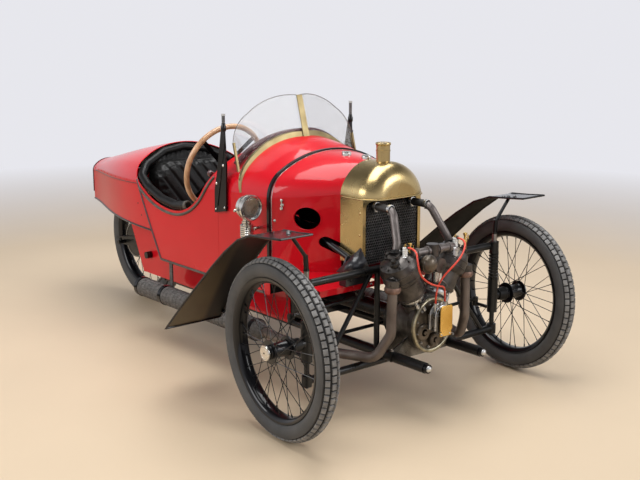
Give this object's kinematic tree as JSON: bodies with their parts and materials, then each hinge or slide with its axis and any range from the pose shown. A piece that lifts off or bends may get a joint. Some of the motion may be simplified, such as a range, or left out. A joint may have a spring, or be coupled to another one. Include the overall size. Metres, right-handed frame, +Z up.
{
  "type": "three wheeled car",
  "caption": "Open two-seat cyclecar with a V-twin engine before its brass radiator, a boat tail over the rear wheel, turning wheels and linked steering.",
  "frame": {"origin": "on the ground under the middle of the car's box", "axes": "+X forward, +Y to the car's left, +Z up"},
  "size_m": [2.7296, 1.4, 1.1598],
  "materials": {
    "red_paint": "gloss red paint",
    "black_paint": "gloss black paint",
    "frame_black": "satin black enamel",
    "polished_brass": "polished brass",
    "nickel": "bright nickel plate",
    "engine_iron": "oily grey-black cast iron",
    "crankcase_metal": "dull cast aluminium",
    "hot_pipe": "heat-browned steel",
    "silencer_wrap": "grey woven wrap",
    "steel": "bright machined steel",
    "hose_rubber": "grey-brown rubber",
    "lead_rubber": "red rubber",
    "tyre_rubber": "matt black tyre",
    "black_leather": "pleated black leather",
    "varnished_wood": "varnished wood",
    "floor_wood": "oiled boards",
    "screen_glass": "clear plate glass"
  },
  "bodies": {
    "car": {"lower_tubes": "frame_black", "lower_cross_tube": "frame_black", "upper_cross_tube": "frame_black", "frame_braces": "frame_black", "sliding_pillars": "steel", "crankcase": "crankcase_metal", "cylinder_right": "engine_iron", "cylinder_left": "engine_iron", "inlet_manifold": "engine_iron", "magneto": "engine_iron", "plug_lead_right": "lead_rubber", "plug_lead_left": "lead_rubber", "exhaust_right": "hot_pipe", "exhaust_left": "hot_pipe", "silencers": "silencer_wrap", "torque_tube": "frame_black", "rear_fork": "frame_black", "rear_springs": "frame_black", "drive_chains": "steel", "radiator_shell": "polished_brass", "radiator_core": "black_paint", "water_hoses": "hose_rubber", "bonnet": "red_paint", "bonnet_caps": "nickel", "scuttle": "red_paint", "cockpit_side_right": "red_paint", "cockpit_side_left": "red_paint", "tail_deck": "red_paint", "tail_skirt": "red_paint", "scuttle_bead": "black_paint", "valance_right": "red_paint", "valance_left": "red_paint", "floor_boards": "floor_wood", "firewall": "black_paint", "dashboard": "varnished_wood", "front_tray": "red_paint", "seat_cushion": "black_leather", "seat_back": "black_leather", "coaming_roll": "black_leather", "windscreen_glass": "screen_glass", "windscreen_frame": "polished_brass", "screen_brackets": "black_paint", "side_lamps": "nickel", "wing_right": "black_paint", "wing_left": "black_paint", "wing_stays": "black_paint"},
    "stub_right": {"stub_axle_right": "frame_black"},
    "stub_left": {"stub_axle_left": "frame_black"},
    "wheel_right": {"front_right_wheel": "black_paint", "front_right_tyre": "tyre_rubber"},
    "wheel_left": {"front_left_wheel": "black_paint", "front_left_tyre": "tyre_rubber"},
    "wheel_rear": {"rear_wheel": "black_paint", "rear_hub": "black_paint", "rear_tyre": "tyre_rubber"},
    "track": {"track_rod": "frame_black"},
    "link": {"drag_link": "frame_black"},
    "column": {"steering_column": "black_paint", "steering_wheel": "varnished_wood", "steering_spider": "black_paint"}
  },
  "joints": [
    {"name": "steer_right", "type": "hinge", "parent": "car", "child": "stub_right", "pos_m": [1.027, -0.505, 0.33], "axis": [0, 0, 1], "range_deg": [-26, 34]},
    {"name": "steer_left", "type": "hinge", "parent": "car", "child": "stub_left", "pos_m": [1.027, 0.505, 0.33], "axis": [0, 0, 1], "range_deg": [-26, 34]},
    {"name": "column_turn", "type": "hinge", "parent": "car", "child": "column", "pos_m": [0.042, -0.17, 0.832], "axis": [-0.9537, 0, 0.3007], "range_deg": [-26, 34]},
    {"name": "track_pivot", "type": "hinge", "parent": "stub_right", "child": "track", "pos_m": [0.92724, -0.49802, 0.3], "axis": [0, 0, 1], "range_deg": [-34, 26]},
    {"name": "link_pivot", "type": "hinge", "parent": "stub_right", "child": "link", "pos_m": [0.92724, -0.49802, 0.3], "axis": [0, 0, 1], "range_deg": [-34, 26]},
    {"name": "front_right_spin", "type": "hinge", "parent": "stub_right", "child": "wheel_right", "pos_m": [1.0187, -0.62371, 0.32993], "axis": [-0.0697, -0.9973, -0.0227], "continuous": true},
    {"name": "front_left_spin", "type": "hinge", "parent": "stub_left", "child": "wheel_left", "pos_m": [1.0353, 0.62371, 0.32993], "axis": [0.0697, 0.9973, -0.0227], "continuous": true},
    {"name": "rear_spin", "type": "hinge", "parent": "car", "child": "wheel_rear", "pos_m": [-0.948, 0, 0.33], "axis": [0, 1, 0], "continuous": true}
  ],
  "couplings": [
    {"joint": "steer_left", "follows": "steer_right", "ratio": 1},
    {"joint": "column_turn", "follows": "steer_right", "ratio": 1},
    {"joint": "track_pivot", "follows": "steer_right", "ratio": -1},
    {"joint": "link_pivot", "follows": "steer_right", "ratio": -1}
  ]
}
